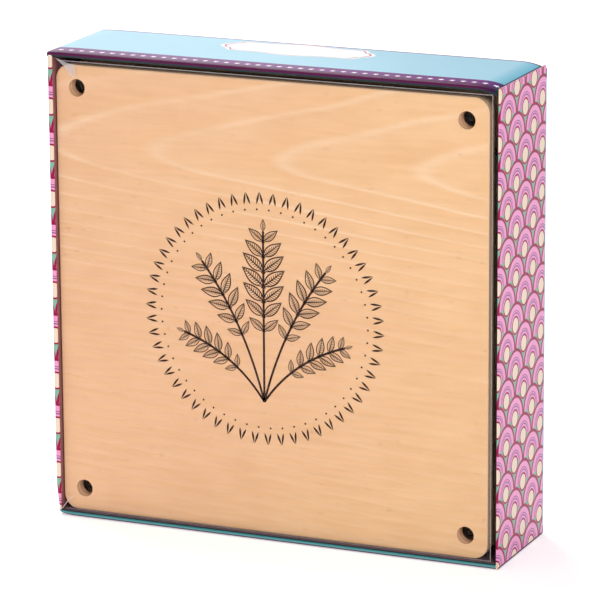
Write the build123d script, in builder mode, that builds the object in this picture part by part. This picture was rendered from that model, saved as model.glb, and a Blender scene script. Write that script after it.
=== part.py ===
"""A wooden flower press standing in an open-fronted card carton.

X runs to the right, -Y to the front and +Z up. The origin is the middle of the carton's footprint, on the floor.
From the front: clear window film, front board, blotting sheets between corrugated cards, rear board, and behind that a
hardware card with four bolts clamped to it by their own washers and wing nuts.
"""

import os
from math import sqrt

from build123d import *

# Boards of the press
board_size = 180.0
board_thickness = 6.0
board_corner_radius = 6.0
board_edge_radius = 0.6
hole_diameter = 7.0
hole_inset = 9.0

# Sheets between the boards
blotter_thickness = 0.5
card_thickness = 1.6
card_count = 5
blotters_between_cards = 2
sheet_inset = 2.0
sheet_hole_clearance = 3.0
flute_pitch = 5.5
flute_skin = 0.25
flute_wall = 0.4
flute_crest = 1.0

# Carton, the liner that doubles its walls, and the film
carton_wall = 0.8
carton_edge_radius = 0.35
liner_wall = 1.2
left_gap = 0.4
right_gap = 3.2
top_gap = 3.1
seat_gap = 0.3
board_recess = 2.5
film_thickness = 0.3
film_gap = 0.3
film_clearance = 0.9
film_corner_radius = 1.0
shelf_length = 120.0

# Bolts, washers and wing nuts
bolt_diameter = 5.0
bolt_head_diameter = 10.0
bolt_head_height = 3.2
bolt_head_radius = 1.4
bolt_slot_width = 1.2
bolt_slot_depth = 1.4
bolt_tip_chamfer = 0.6
bolt_tip_clearance = 0.2
washer_diameter = 11.0
washer_thickness = 1.0
washer_clearance = 0.1
nut_clearance = 0.05
nut_hub_diameter = 9.0
nut_hub_top_diameter = 7.6
nut_hub_height = 5.5
nut_height = 9.0
nut_span = 18.0
nut_wing_width = 5.6
nut_wing_thickness = 3.0
nut_wing_radius = 2.2
nut_travel = 6.4
nut_end_gap = 1.0

# Hardware card and the risers glued to it
hardware_card_thickness = 1.8
hardware_card_corner_radius = 4.0
bolt_hole_clearance = 0.2
riser_length = 120.0
riser_height = 18.0
riser_wall = 0.8
riser_spacing = 95.0

# Sizes that follow from those above
wall = carton_wall + liner_wall
blotter_count = blotters_between_cards * (card_count - 1)
stack_thickness = card_count * card_thickness + blotter_count * blotter_thickness
riser_depth = washer_thickness + nut_height + nut_travel + nut_end_gap
bolt_length = (
    hardware_card_thickness + riser_depth + board_thickness + stack_thickness - bolt_tip_clearance
)
box_width = board_size + left_gap + right_gap + 2 * wall
box_height = board_size + seat_gap + top_gap + 2 * wall
box_depth = (
    board_recess
    + 2 * board_thickness
    + stack_thickness
    + riser_depth
    + hardware_card_thickness
    + bolt_head_height
    + seat_gap
    + carton_wall
)

# Planes that the pieces lie between, from the front to the back
box_back = box_depth / 2
carton_front = -box_depth / 2
front_board_front = carton_front + board_recess
film_back = front_board_front - film_gap
stack_front = front_board_front + board_thickness
rear_board_front = stack_front + stack_thickness
rear_board_back = rear_board_front + board_thickness
hardware_card_front = rear_board_back + riser_depth
bolt_head_front = hardware_card_front + hardware_card_thickness
back_panel_front = box_back - carton_wall

# The middle of the boards, and the bolt positions round it
board_x = -box_width / 2 + wall + left_gap + board_size / 2
board_z = wall + seat_gap + board_size / 2
bolt_reach = board_size / 2 - hole_inset
bolt_places = [
    (board_x - bolt_reach, board_z + bolt_reach),
    (board_x + bolt_reach, board_z + bolt_reach),
    (board_x - bolt_reach, board_z - bolt_reach),
    (board_x + bolt_reach, board_z - bolt_reach),
]

os.makedirs("parts", exist_ok=True)


def upright(y, x=0.0, z=0.0):
    """A plane facing the front at depth y, with its own X to the right and its own Y up."""
    return Plane(origin=(x, y, z), x_dir=(1, 0, 0), z_dir=(0, -1, 0))


def save(builder, name):
    """Labels a finished piece and writes it under its own name."""
    builder.part.label = name
    export_step(builder.part, f"parts/{name}.step")


def panel(name, x_range, y_range, z_range):
    """A plain card panel between two planes on each axis."""
    lows = (x_range[0], y_range[0], z_range[0])
    highs = (x_range[1], y_range[1], z_range[1])
    centre = tuple((low + high) / 2 for low, high in zip(lows, highs))
    with BuildPart() as piece:
        with Locations(centre):
            Box(*(high - low for low, high in zip(lows, highs)))
    save(piece, name)


# Carton panels. The top and bottom run over the ends of the sides, and the back closes all four
half_width = box_width / 2
inner_half = half_width - carton_wall
inner_top = box_height - carton_wall
carton_depth = (carton_front, back_panel_front)
panel("carton_bottom", (-half_width, half_width), carton_depth, (0.0, carton_wall))
panel("carton_left", (-half_width, -inner_half), carton_depth, (carton_wall, inner_top))
panel("carton_right", (inner_half, half_width), carton_depth, (carton_wall, inner_top))

with BuildPart() as carton_top:
    with BuildSketch(Plane.XY.offset(inner_top)):
        with Locations((0.0, sum(carton_depth) / 2)):
            Rectangle(box_width, carton_depth[1] - carton_depth[0])
    extrude(amount=carton_wall)
    fillet(carton_top.edges().group_by(Axis.Z)[-1].filter_by(Axis.Y), carton_edge_radius)
save(carton_top, "carton_top")

with BuildPart() as carton_back:
    with BuildSketch(upright(box_back, z=box_height / 2)):
        Rectangle(box_width, box_height)
    extrude(amount=carton_wall)
    fillet(carton_back.faces().sort_by(Axis.Y)[-1].edges(), carton_edge_radius)
save(carton_back, "carton_back")

# Liner strips inside the carton walls, from its front edge to the back of the press
liner_half = inner_half - liner_wall
liner_low = wall
liner_high = box_height - wall
liner_depth = (carton_front, rear_board_back)
panel("liner_bottom", (-inner_half, inner_half), liner_depth, (carton_wall, liner_low))
panel("liner_top", (-inner_half, inner_half), liner_depth, (liner_high, inner_top))
panel("liner_left", (-inner_half, -liner_half), liner_depth, (liner_low, liner_high))
panel("liner_right", (liner_half, inner_half), liner_depth, (liner_low, liner_high))
shelf_range = (board_x - shelf_length / 2, board_x + shelf_length / 2)
panel("liner_shelf", shelf_range, (rear_board_back, back_panel_front), (carton_wall, liner_low))

# Clear film inside the opening, in front of the board
with BuildPart() as window_film:
    with BuildSketch(upright(film_back, z=(liner_low + liner_high) / 2)):
        RectangleRounded(
            2 * (liner_half - film_clearance),
            liner_high - liner_low - 2 * film_clearance,
            film_corner_radius,
        )
    extrude(amount=film_thickness)
save(window_film, "window_film")


def board(name, front):
    """A plywood board with rounded corners, eased edges and a hole near each corner."""
    with BuildPart() as piece:
        with BuildSketch(upright(front + board_thickness, board_x, board_z)):
            RectangleRounded(board_size, board_size, board_corner_radius)
            with GridLocations(2 * bolt_reach, 2 * bolt_reach, 2, 2):
                Circle(hole_diameter / 2, mode=Mode.SUBTRACT)
        extrude(amount=board_thickness)
        rims = piece.faces().filter_by(Axis.Y)
        fillet(rims.edges().filter_by(GeomType.CIRCLE, reverse=True), board_edge_radius)
    save(piece, name)


board("front_board", front_board_front)
board("rear_board", rear_board_front)

# Sheets are smaller than the boards, with corners cut off to pass the bolts
sheet_size = board_size - 2 * sheet_inset
corner_cut = 2 * (hole_inset - sheet_inset) + sqrt(2) * (hole_diameter / 2 + sheet_hole_clearance)
sheet_half = sheet_size / 2
sheet_step = sheet_half - corner_cut
sheet_outline = [
    (-sheet_step, -sheet_half),
    (sheet_step, -sheet_half),
    (sheet_half, -sheet_step),
    (sheet_half, sheet_step),
    (sheet_step, sheet_half),
    (-sheet_step, sheet_half),
    (-sheet_half, sheet_step),
    (-sheet_half, -sheet_step),
]


def blotter(name, front):
    """A blotting sheet."""
    with BuildPart() as piece:
        with BuildSketch(upright(front + blotter_thickness, board_x, board_z)):
            Polygon(*sheet_outline, align=None)
        extrude(amount=blotter_thickness)
    save(piece, name)


def corrugated_card(name, front):
    """A corrugated card: two skins with a zigzag web between them, whose flutes run up and down."""
    cell_height = card_thickness - 2 * flute_skin
    crest = flute_crest / 2
    trough = flute_pitch / 2 - flute_wall - crest
    cell_low = -cell_height / 2
    cell_high = cell_height / 2
    upward_cell = [(-trough, cell_low), (trough, cell_low), (crest, cell_high), (-crest, cell_high)]
    downward_cell = [(-crest, cell_low), (crest, cell_low), (trough, cell_high), (-trough, cell_high)]
    flute_count = int((sheet_size - 2 * flute_wall) / flute_pitch)
    middle = front + card_thickness / 2
    with BuildPart() as piece:
        with BuildSketch(Plane.XY.offset(board_z - sheet_half)):
            with Locations((board_x, middle)):
                Rectangle(sheet_size, card_thickness)
                with GridLocations(flute_pitch, 1.0, flute_count, 1):
                    Polygon(*upward_cell, align=None, mode=Mode.SUBTRACT)
                with GridLocations(flute_pitch, 1.0, flute_count - 1, 1):
                    Polygon(*downward_cell, align=None, mode=Mode.SUBTRACT)
        extrude(amount=sheet_size)
        with BuildSketch(upright(front + card_thickness, board_x, board_z)):
            Polygon(*sheet_outline, align=None)
        extrude(amount=card_thickness, mode=Mode.INTERSECT)
    save(piece, name)


# The stack, counted from the rear board forward: a card, then blotting sheets and a card in turn
sheet_back = rear_board_front
blotter_number = 0
for card_number in range(1, card_count + 1):
    sheet_back -= card_thickness
    corrugated_card(f"corrugated_card_{card_number}", sheet_back)
    if card_number < card_count:
        for turn in range(blotters_between_cards):
            blotter_number += 1
            sheet_back -= blotter_thickness
            blotter(f"blotter_{blotter_number}", sheet_back)

# Hardware card behind the press, with a hole for each bolt
with BuildPart() as hardware_card:
    with BuildSketch(upright(bolt_head_front, z=(liner_low + liner_high) / 2)):
        RectangleRounded(
            2 * (liner_half - seat_gap),
            liner_high - liner_low - 2 * seat_gap,
            hardware_card_corner_radius,
        )
    extrude(amount=hardware_card_thickness)
    with BuildSketch(upright(bolt_head_front, board_x, board_z)):
        with GridLocations(2 * bolt_reach, 2 * bolt_reach, 2, 2):
            Circle(bolt_diameter / 2 + bolt_hole_clearance)
    extrude(amount=hardware_card_thickness, mode=Mode.SUBTRACT)
save(hardware_card, "hardware_card")


def riser(name, z):
    """A folded card tube that keeps the press at the front of the carton."""
    with BuildPart() as piece:
        with BuildSketch(Plane.YZ.offset(board_x - riser_length / 2)):
            with Locations((hardware_card_front - riser_depth / 2, z)):
                Rectangle(riser_depth, riser_height)
                Rectangle(
                    riser_depth - 2 * riser_wall, riser_height - 2 * riser_wall, mode=Mode.SUBTRACT
                )
        extrude(amount=riser_length)
    save(piece, name)


riser("riser_upper", board_z + riser_spacing / 2)
riser("riser_lower", board_z - riser_spacing / 2)


def bolt(name, x, z):
    """A slotted pan-head bolt that points forward, with its head behind the hardware card."""
    with BuildPart() as piece:
        with BuildSketch(upright(bolt_head_front, x, z)):
            Circle(bolt_head_diameter / 2)
        extrude(amount=-bolt_head_height)
        fillet(piece.edges().sort_by(Axis.Y)[-1], bolt_head_radius)
        with BuildSketch(upright(bolt_head_front + bolt_head_height, x, z)):
            Rectangle(bolt_head_diameter, bolt_slot_width)
        extrude(amount=bolt_slot_depth, mode=Mode.SUBTRACT)
        with BuildSketch(upright(bolt_head_front, x, z)):
            Circle(bolt_diameter / 2)
        extrude(amount=bolt_length)
        chamfer(piece.edges().sort_by(Axis.Y)[0], bolt_tip_chamfer)
    save(piece, name)


def washer(name, x, z):
    """A flat washer against the front of the hardware card."""
    with BuildPart() as piece:
        with BuildSketch(upright(hardware_card_front, x, z)):
            Circle(washer_diameter / 2)
            Circle(bolt_diameter / 2 + washer_clearance, mode=Mode.SUBTRACT)
        extrude(amount=washer_thickness)
    save(piece, name)


def wing_nut(name, x, z):
    """A wing nut on the washer: a tapered hub with two upswept wings and a plain bore."""
    seat = hardware_card_front - washer_thickness
    wing_reach = nut_span / 2
    wing_root = nut_hub_top_diameter / 2 - nut_wing_thickness / 2
    shoulder = nut_hub_height / 2
    with BuildPart() as piece:
        with BuildSketch(upright(seat, x, z)):
            Circle(nut_hub_diameter / 2)
        with BuildSketch(upright(seat - nut_hub_height, x, z)):
            Circle(nut_hub_top_diameter / 2)
        loft()
        wing_plane = Plane(origin=(x, seat, z), x_dir=(1, 0, 0), z_dir=(0, 0, 1))
        with BuildSketch(wing_plane) as wing:
            with BuildLine():
                Polyline(
                    (wing_root, -nut_wing_thickness / 2),
                    (wing_reach - nut_wing_width / 2, -shoulder),
                    (wing_reach, -shoulder - nut_wing_radius),
                    (wing_reach, -nut_height),
                    (wing_reach - nut_wing_width, -nut_height),
                    (wing_root, -nut_hub_height),
                    close=True,
                )
            make_face()
            wing_tips = wing.vertices().sort_by(Axis.Y)[:2]
            fillet(wing_tips, nut_wing_radius)
            mirror(about=Plane.YZ)
        extrude(amount=nut_wing_thickness / 2, both=True)
        with BuildSketch(upright(seat, x, z)):
            Circle(bolt_diameter / 2 + nut_clearance)
        extrude(amount=nut_height, mode=Mode.SUBTRACT)
    save(piece, name)


for number, (bolt_x, bolt_z) in enumerate(bolt_places, start=1):
    bolt(f"bolt_{number}", bolt_x, bolt_z)
    washer(f"washer_{number}", bolt_x, bolt_z)
    wing_nut(f"wing_nut_{number}", bolt_x, bolt_z)

print(f"box {box_width:.1f} x {box_depth:.1f} x {box_height:.1f}, bolt {bolt_length:.1f} long")
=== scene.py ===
"""The finished look of a boxed flower press: printed card, film, plywood, paper sheets and zinc hardware."""

import math
from types import SimpleNamespace

import bmesh
import bpy
import numpy as np
from bpy.props import FloatProperty, FloatVectorProperty, IntProperty, PointerProperty
from mathutils import Matrix, Vector


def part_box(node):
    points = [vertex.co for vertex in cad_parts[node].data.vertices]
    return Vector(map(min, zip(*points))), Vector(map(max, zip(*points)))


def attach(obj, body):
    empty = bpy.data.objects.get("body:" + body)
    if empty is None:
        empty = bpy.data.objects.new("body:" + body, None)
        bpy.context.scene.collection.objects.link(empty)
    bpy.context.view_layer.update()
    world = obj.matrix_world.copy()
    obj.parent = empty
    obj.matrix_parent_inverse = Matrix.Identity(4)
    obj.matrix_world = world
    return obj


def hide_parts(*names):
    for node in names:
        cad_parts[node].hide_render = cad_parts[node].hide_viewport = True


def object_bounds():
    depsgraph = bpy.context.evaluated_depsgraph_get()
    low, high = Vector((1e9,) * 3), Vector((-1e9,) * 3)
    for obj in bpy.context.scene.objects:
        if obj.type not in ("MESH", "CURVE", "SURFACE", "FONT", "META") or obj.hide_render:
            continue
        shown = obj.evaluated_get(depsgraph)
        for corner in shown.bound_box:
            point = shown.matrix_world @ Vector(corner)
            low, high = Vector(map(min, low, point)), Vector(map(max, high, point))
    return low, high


bl_info = {
    "name": "Boxed Flower Press",
    "version": (1, 0, 0),
    "blender": (4, 5, 0),
    "location": "View3D > Sidebar > Flower Press",
    "description": "Dresses the packed solids of a boxed flower press in card, film, wood, paper and metal",
    "category": "Object",
}

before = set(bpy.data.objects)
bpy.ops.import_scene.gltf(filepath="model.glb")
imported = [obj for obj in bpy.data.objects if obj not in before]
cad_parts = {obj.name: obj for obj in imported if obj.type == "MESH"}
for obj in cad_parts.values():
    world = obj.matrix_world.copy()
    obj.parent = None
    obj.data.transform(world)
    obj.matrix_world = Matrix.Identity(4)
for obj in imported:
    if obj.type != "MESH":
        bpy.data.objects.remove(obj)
CAD_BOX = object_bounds()
MM = 0.001
BLACK, WHITE = (0.0, 0.0, 0.0), (1.0, 1.0, 1.0)
FORWARD_TURN = (math.pi / 2, 0.0, 0.0)
MERGE = 1e-7

# Faces of the carton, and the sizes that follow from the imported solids
LEFT, FRONT, FLOOR = CAD_BOX[0]
RIGHT, BACK, TOP = CAD_BOX[1]
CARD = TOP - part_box("carton_top")[0].z
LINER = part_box("liner_top")[1].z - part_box("liner_top")[0].z
WALL = CARD + LINER
PANEL_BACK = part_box("carton_back")[0].y
LINER_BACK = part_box("liner_left")[1].y
LIP = 0.6 * MM
PANEL_STEP = 2.4 * MM
FILM_STEP = 4 * MM
SHEETS = [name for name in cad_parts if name.startswith(("blotter", "corrugated"))]


def srgb(red, green, blue):
    """The linear colour of screen values from 0 to 255."""
    values = [channel / 255 for channel in (red, green, blue)]
    return tuple(v / 12.92 if v <= 0.04045 else ((v + 0.055) / 1.055) ** 2.4 for v in values)


def colour(name, description, *screen):
    """A colour property with its default given in screen values."""
    return FloatVectorProperty(
        name=name, description=description, subtype="COLOR", size=3, min=0.0, max=1.0, default=srgb(*screen)
    )


def length(name, description, millimetres):
    """A length property with its default given in millimetres."""
    return FloatProperty(name=name, description=description, unit="LENGTH", default=millimetres * MM)


def power(name, description, watts):
    """A property for the power of a light."""
    return FloatProperty(name=name, description=description, unit="POWER", default=watts)


class CartonLook(bpy.types.PropertyGroup):
    """Inks and folds of the carton."""

    turquoise: colour("Turquoise", "Ink of the top and back", 166, 210, 228)
    # Painted shade: deepens the top's ink towards its right end, where the top curls down.
    end_shade_tint: colour("End tint", "Deepens the ink where the top dips", 150, 216, 228)
    # Painted highlight: the brighter band across the middle of the base's rounded front lip.
    lip: colour("Lip", "Brightest ink on the base's front lip", 92, 160, 164)
    teal: colour("Teal", "Ink of the base and its front edge", 60, 128, 134)
    band: colour("Band", "Purple band along the front of the top", 112, 38, 120)
    roll: colour("Roll", "Dark purple of the rolled front edge", 84, 20, 66)
    # Painted shade: the dark colour under the top's rolled edge, at the top edge of the base's lip and along
    # the top's right end.
    shade: colour("Shade", "Dark ink under the rolled edge", 24, 44, 51)
    pink: colour("Pink", "Ground of the side pattern", 234, 156, 202)
    magenta: colour("Magenta", "Outlines of the side pattern", 156, 4, 72)
    lilac: colour("Lilac", "Inner arcs of the side pattern", 150, 88, 142)
    cream: colour("Cream", "Hearts of the side pattern", 236, 214, 194)
    mint: colour("Mint", "Leaves of the side pattern", 128, 180, 160)
    # Painted shade: the liner card is darkened on the top and the right wall, where the insides lie in
    # shadow; the left and lower linings are lighter copies of the same card, where the insides are lit.
    liner: colour("Liner", "Dark card that doubles the top and the right wall", 46, 22, 29)
    lining: colour("Left lining", "Mauve card that doubles the left wall", 142, 92, 90)
    ledge: colour("Lower lining", "Grey-mauve card that doubles the base", 104, 80, 88)
    torn: colour("Torn card", "Bare grey-brown card at worn corners", 236, 202, 172)
    raw: colour("Raw card", "Cut edges of the card", 250, 244, 236)
    plaque: colour("Plaque", "Blank plaque on the top", 248, 246, 246)
    plaque_line: colour("Plaque line", "Thin line round the plaque", 214, 110, 132)
    scale: length("Scale", "Radius of a scale in the side pattern", 9.2)
    scale_shift: length("Scale shift", "Moves the side pattern's columns to the front edges", -3.9)
    band_depth: length("Band depth", "Depth of the purple band", 8.2)
    star_pitch: length("Star pitch", "Distance from star to star", 4.4)
    star_reach: length("Star reach", "Radius of a star's points", 1.4)
    right_dip: length("Right dip", "How far the right end of the top dips", 2.1)
    left_dip: length("Left dip", "How far the left end of the top dips", 0.3)
    corner_lift: length("Corner lift", "How far the lower left corner is rounded up", 1.6)
    corner_pull: length("Corner pull", "How far the lower left corner is drawn in", 1.2)


class FilmLook(bpy.types.PropertyGroup):
    """The clear film in the opening."""

    tint: colour("Tint", "Colour of the film's gloss", 250, 250, 252)
    # Painted highlights: the white on the film's edges, its lower left fold and its upper left corner, in
    # place of their glints.
    highlight_white: colour("Haze", "Colour of its creases and edges", 240, 232, 236)
    half_width: length("Half width", "Half of the film's width", 90.3)
    top_edge: length("Top edge", "Height of its upper edge", 183.9)
    bottom_edge: length("Bottom edge", "Height of its lower edge", 2.25)
    ripple: length("Ripple", "Height of its slow ripples", 0.12)


class BoardLook(bpy.types.PropertyGroup):
    """Plywood boards and the print on the front one."""

    warm: colour("Warm veneer", "Golden tone of the veneer", 236, 193, 148)
    amber: colour("Amber veneer", "Deeper tone towards the end of each growth ring", 235, 186, 138)
    rosy: colour("Rosy veneer", "Pinker tone of the veneer", 234, 187, 149)
    # Pale serves the veneer's real pale streaks, and also a painted highlight on the boards' eased edges.
    pale: colour("Pale streak", "Pale streaks and eased edges", 246, 212, 178)
    dark_ply: colour("Dark ply", "Darker layers in the edge", 230, 186, 144)
    ink: colour("Ink", "Brown print on the front board", 58, 28, 20)
    ring_radius: length("Ring radius", "Radius of the ring of leaves", 45.5)
    ring_leaves: IntProperty(name="Ring leaves", description="Leaves in the ring", default=108, min=8)
    print_left: length("Print left", "How far the print sits left of the board's middle", 2.5)
    print_below: length("Print below", "How far the print sits below the board's middle", 4.0)


class SheetLook(bpy.types.PropertyGroup):
    """Corrugated cards, blotting sheets and plain card."""

    kraft: colour("Kraft", "Corrugated card", 186, 140, 92)
    blotting: colour("Blotting paper", "Blotting sheets", 238, 232, 218)
    grey: colour("Greyboard", "Hardware card and risers", 150, 144, 136)
    flute_pitch: length("Flute pitch", "Distance from flute to flute", 5.5)


class HardwareLook(bpy.types.PropertyGroup):
    """Bolts, washers and wing nuts."""

    zinc: colour("Zinc", "Bright zinc plating", 188, 192, 198)
    # Painted shade: the dark colour on the bolts' tips, which sit deep in the boards' holes.
    bare: colour("Bare steel", "Dark cut ends of the bolts", 34, 24, 22)
    thread_pitch: length("Thread pitch", "Distance from thread to thread", 0.8)
    thread_depth: FloatProperty(name="Thread depth", description="Share of the radius", default=0.14)


class StageLook(bpy.types.PropertyGroup):
    """Floor, light and camera."""

    floor: colour("Floor", "Plain pale floor", 250, 250, 250)
    sky: FloatProperty(name="Sky", description="Strength of the light all round", default=0.34)
    key: power("Key light", "Power of the main light", 4.2)
    rear: power("Rear light", "Power of the low rear light", 4.2)
    fill: power("Fill light", "Power of the fill light", 2.8)
    above: power("Top light", "Power of the light above", 10.2)


# Helpers for node trees, both of materials and of geometry
class Value:
    """An output of a node that takes plain arithmetic."""

    def __init__(self, tree, socket):
        self.tree = tree
        self.socket = socket

    def __add__(self, other):
        return calc("ADD", self, other)

    def __sub__(self, other):
        return calc("SUBTRACT", self, other)

    def __rsub__(self, other):
        return calc("SUBTRACT", other, self)

    def __mul__(self, other):
        return calc("MULTIPLY", self, other)

    def __truediv__(self, other):
        return calc("DIVIDE", self, other)

    def __mod__(self, other):
        return calc("FLOORED_MODULO", self, other)

    def __lt__(self, other):
        return calc("LESS_THAN", self, other)

    def __gt__(self, other):
        return calc("GREATER_THAN", self, other)


def feed(socket, value):
    """Links a socket to a value of its tree, or sets its own value."""
    if isinstance(value, Value):
        value.tree.links.new(value.socket, socket)
    else:
        socket.default_value = value


def add(tree, kind, *values, **named):
    """Adds a node. Values feed its inputs in order, capital names feed inputs, other names are settings."""
    node = tree.nodes.new(kind)
    inputs = dict(enumerate(values))
    for name, value in named.items():
        if name[0].isupper():
            inputs[name.replace("_", " ")] = value
        else:
            setattr(node, name, value)
    for key, value in inputs.items():
        feed(node.inputs[key], value)
    return node


def take(tree, kind, *values, out=0, **named):
    """One output of a new node."""
    return Value(tree, add(tree, kind, *values, **named).outputs[out])


def tree_of(*values):
    """The tree that the first linked value belongs to."""
    return next(value.tree for value in values if isinstance(value, Value))


def calc(operation, *values):
    """One step of arithmetic."""
    return take(tree_of(*values), "ShaderNodeMath", *values, operation=operation)


def split(vector):
    """The three parts of a vector."""
    node = add(vector.tree, "ShaderNodeSeparateXYZ", vector)
    return [Value(vector.tree, part) for part in node.outputs]


def joined(*parts):
    """A vector from its three parts."""
    return take(tree_of(*parts), "ShaderNodeCombineXYZ", *parts)


def span(first, second):
    """The length of a step from its two parts."""
    return calc("SQRT", first * first + second * second)


def opaque(shade):
    """A colour with full alpha."""
    return (*shade[:3], 1.0)


def blend(factor, first, second, mode="MIX"):
    """A mix of two colours, each a value or a plain colour."""
    tree = tree_of(factor, first, second)
    node = add(tree, "ShaderNodeMix", factor, data_type="RGBA", blend_type=mode)
    for index, shade in ((6, first), (7, second)):
        feed(node.inputs[index], shade if isinstance(shade, Value) else opaque(shade))
    return Value(tree, node.outputs[2])


def ramp(factor, stops, interpolation="LINEAR"):
    """A colour ramp with its stops in rising order."""
    node = add(factor.tree, "ShaderNodeValToRGB", factor)
    node.color_ramp.interpolation = interpolation
    elements = node.color_ramp.elements
    elements[0].position = stops[0][0]
    elements[1].position = stops[-1][0]
    for position, _ in stops[1:-1]:
        elements.new(position)
    for element, (_, shade) in zip(elements, stops):
        element.color = opaque(shade)
    return Value(factor.tree, node.outputs[0])


def grey_ramp(factor, low, high):
    """Rises from black at low to white at high."""
    return ramp(factor, [(low, BLACK), (high, WHITE)])


def tinted(base, mask, tint):
    """A colour that takes a tint where a mask is low."""
    return blend(1.0, base, ramp(mask, [(0.3, tint), (0.7, WHITE)]), "MULTIPLY")


def in_millimetres(tree, stretch=(1.0, 1.0, 1.0)):
    """Object coordinates in millimetres, stretched for a grain."""
    place = take(tree, "ShaderNodeTexCoord", out="Object")
    return take(tree, "ShaderNodeMapping", Vector=place, Scale=tuple(1.0 / MM * part for part in stretch))


def noise(tree, scale, detail, stretch=(1.0, 1.0, 1.0), roughness=0.5):
    """Soft noise from 0 to 1, stretched for a grain."""
    place = in_millimetres(tree, stretch)
    return take(tree, "ShaderNodeTexNoise", Vector=place, Scale=scale, Detail=detail, Roughness=roughness)


def on_sheet(tree):
    """Run and girth of a folded sheet, from its own UV map."""
    return split(take(tree, "ShaderNodeUVMap", uv_map="Print"))


def bump(height, strength, distance):
    """A normal from a height."""
    return take(height.tree, "ShaderNodeBump", Height=height, Strength=strength, Distance=distance)


def open_material(name):
    """An empty material and its tree."""
    material = bpy.data.materials.new(name)
    material.use_nodes = True
    material.node_tree.nodes.clear()
    return material, material.node_tree


def surfaced(material, **sockets):
    """Ends a material in one principled shader."""
    shader = take(material.node_tree, "ShaderNodeBsdfPrincipled", **sockets)
    add(material.node_tree, "ShaderNodeOutputMaterial", Surface=shader)
    return material


def see_through(material, share, shader):
    """Ends a material that is clear apart from a share of another shader."""
    clear = take(material.node_tree, "ShaderNodeBsdfTransparent", Color=opaque(WHITE))
    mixed = take(material.node_tree, "ShaderNodeMixShader", share, clear, shader)
    add(material.node_tree, "ShaderNodeOutputMaterial", Surface=mixed)
    return material


# Helpers for meshes
def link(name, mesh):
    """Puts a mesh into the scene as an object at the origin."""
    piece = bpy.data.objects.new(name, mesh)
    bpy.context.scene.collection.objects.link(piece)
    return piece


def smooth(mesh, angle=35.0):
    """Smooth shading that keeps folds sharper than an angle."""
    mesh.polygons.foreach_set("use_smooth", [True] * len(mesh.polygons))
    mesh.set_sharp_from_angle(angle=math.radians(angle))


def face_outward(mesh, merge=0.0):
    """Merges doubles where asked and turns every closed shell's faces outward."""
    work = bmesh.new()
    work.from_mesh(mesh)
    if merge:
        bmesh.ops.remove_doubles(work, verts=work.verts, dist=merge)
    bmesh.ops.recalc_face_normals(work, faces=work.faces)
    work.to_mesh(mesh)
    work.free()


def loft(name, rings, runs, materials, bare=0, end_mark=0, closed=False):
    """A closed skin through rings of points, whose UV map holds run and girth in metres.

    The last few sides of each ring may be bare, in the second material."""
    count = len(rings[0])
    middle = [Vector(point) for point in rings[len(rings) // 2]]
    girth = [0.0]
    for i in range(count):
        girth.append(girth[-1] + (middle[(i + 1) % count] - middle[i]).length)
    faces = []
    marks = []
    corners = []
    for station in range(len(rings) if closed else len(rings) - 1):
        here = station * count
        there = (station + 1) % len(rings) * count
        run, ahead = runs[station], runs[station + 1]
        for i in range(count):
            j = (i + 1) % count
            faces.append((here + i, here + j, there + j, there + i))
            marks.append(int(i >= count - bare))
            corners += [(run, girth[i]), (run, girth[i + 1]), (ahead, girth[i + 1]), (ahead, girth[i])]
    if not closed:
        last = (len(rings) - 1) * count
        for cap, run in ((range(count)[::-1], runs[0]), (range(last, last + count), runs[-1])):
            faces.append(tuple(cap))
            marks.append(end_mark)
            corners += [(run, girth[i % count]) for i in cap]
    mesh = bpy.data.meshes.new(name)
    mesh.from_pydata([tuple(point) for ring in rings for point in ring], [], faces)
    layer = mesh.uv_layers.new(name="Print")
    layer.data.foreach_set("uv", np.array(corners, np.float32).ravel())
    for material in materials:
        mesh.materials.append(material)
    mesh.polygons.foreach_set("material_index", marks)
    face_outward(mesh)
    smooth(mesh)
    return link(name, mesh)


def arc(centre, radius, start, end, steps=6):
    """Points on an arc, in degrees."""
    angles = np.radians(np.linspace(start, end, steps + 1))
    return [(centre[0] + radius * math.cos(a), centre[1] + radius * math.sin(a)) for a in angles]


def stations(low, high, step):
    """Evenly spaced values from low to high."""
    return list(np.linspace(low, high, max(2, int(round((high - low) / step)) + 1)))


def onward(start, end, count):
    """Even steps from start to end, without the start itself."""
    return [start + (end - start) * i / count for i in range(1, count + 1)]


def ease(value, low, high):
    """A square rise from 0 at low to 1 at high."""
    return min(1.0, max(0.0, (value - low) / (high - low))) ** 2


def round_outline(points):
    """Cuts the corners of a closed outline twice."""
    for _ in range(2):
        rounded = []
        for here, there in zip(points, points[1:] + points[:1]):
            here, there = np.array(here), np.array(there)
            rounded += [tuple(0.75 * here + 0.25 * there), tuple(0.25 * here + 0.75 * there)]
        points = rounded
    return points


def merge_pieces(parts):
    """Several objects as one, under the first one's name."""
    work = bmesh.new()
    for part in parts:
        work.from_mesh(part.data)
    work.to_mesh(parts[0].data)
    work.free()
    for part in parts[1:]:
        bpy.data.objects.remove(part)
    smooth(parts[0].data, 50.0)
    return parts[0]


def dress(piece, body, slot, *nodes):
    """Lets a finished piece ride on its body and stand for its nodes."""
    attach(piece, body)
    if nodes:
        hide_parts(*nodes)
    return piece


def paint(node, material):
    """Gives a node of the frame its material."""
    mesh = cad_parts[node].data
    for index in range(len(mesh.materials)):
        mesh.materials[index] = material


# Helpers for geometry trees
def shape(tree, kind, *values, **named):
    """One output of a new geometry node."""
    return take(tree, f"GeometryNode{kind}", *values, **named)


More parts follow.
